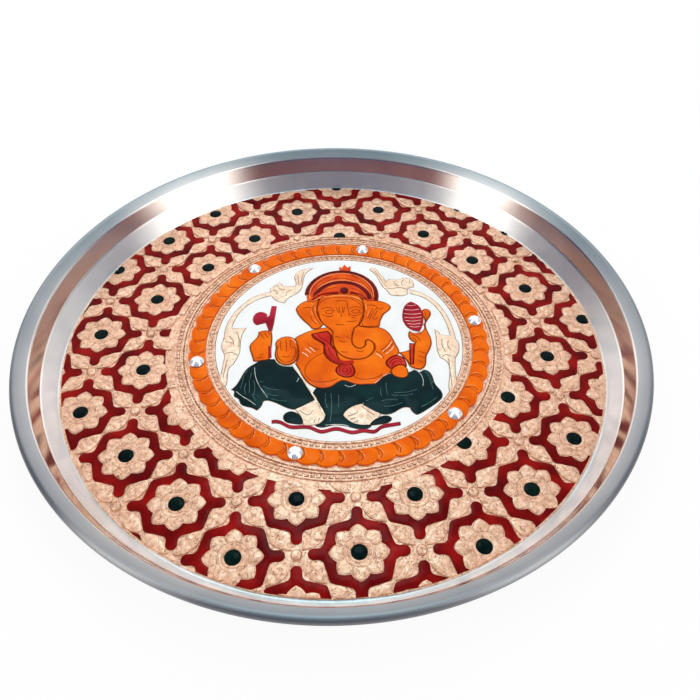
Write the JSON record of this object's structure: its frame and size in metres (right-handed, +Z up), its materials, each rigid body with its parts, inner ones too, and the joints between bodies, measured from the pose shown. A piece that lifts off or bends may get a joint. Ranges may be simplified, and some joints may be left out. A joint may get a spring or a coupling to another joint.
{
  "type": "puja thali",
  "caption": "Round shallow steel tray with a curled rim, lined with an embossed foil sheet filled with coloured enamel and set with clear stones, for carrying ritual offerings.",
  "frame": {"origin": "on the axis of the plate, on the underside of its floor", "axes": "+Z up out of the tray, +Y towards the crown of the figure on the floor, +X to its viewer's right"},
  "size_m": [0.254, 0.254, 0.018],
  "materials": {
    "steel": "polished stainless steel, satin flange",
    "foil": "bright embossed copper-coloured foil",
    "adhesive": "dried clear glue",
    "white_enamel": "gloss enamel",
    "red_enamel": "gloss enamel",
    "black_green_enamel": "gloss enamel",
    "orange_enamel": "gloss enamel",
    "maroon_enamel": "gloss enamel",
    "crimson_enamel": "gloss enamel",
    "scarlet_enamel": "gloss enamel",
    "dark_green_enamel": "gloss enamel",
    "crystal": "clear, faceted"
  },
  "bodies": {
    "root": {"axe_enamel": "crimson_enamel", "axe_hand_enamel": "orange_enamel", "blessing_hand_enamel": "orange_enamel", "bowl_hand_enamel": "orange_enamel", "centre_drape_enamel": "dark_green_enamel", "embossed_sheet": "foil", "face_and_trunk_enamel": "orange_enamel", "flower_dot_enamel": "black_green_enamel", "garland_enamel": "orange_enamel", "left_drape_enamel": "dark_green_enamel", "left_ear_enamel": "orange_enamel", "left_slipper_enamel": "dark_green_enamel", "lotus_arm_enamel": "orange_enamel", "lotus_bud_enamel": "crimson_enamel", "lotus_stem_enamel": "scarlet_enamel", "necklace_enamel": "scarlet_enamel", "pendant_enamel": "scarlet_enamel", "red_lattice_enamel": "red_enamel", "right_drape_enamel": "dark_green_enamel", "right_ear_enamel": "orange_enamel", "right_slipper_enamel": "dark_green_enamel", "seat_line_enamel": "crimson_enamel", "sheet_adhesive": "adhesive", "steel_plate": "steel", "stone_1": "crystal", "stone_2": "crystal", "stone_3": "crystal", "stone_4": "crystal", "stone_5": "crystal", "stone_6": "crystal", "stone_glue": "adhesive", "sweet_bowl_enamel": "scarlet_enamel", "torso_enamel": "orange_enamel", "turban_band_enamel": "maroon_enamel", "turban_cloth_enamel": "orange_enamel", "turban_finial_enamel": "orange_enamel", "turban_jewel_enamel": "maroon_enamel", "turban_rim_enamel": "maroon_enamel", "white_field_enamel": "white_enamel"}
  },
  "joints": []
}
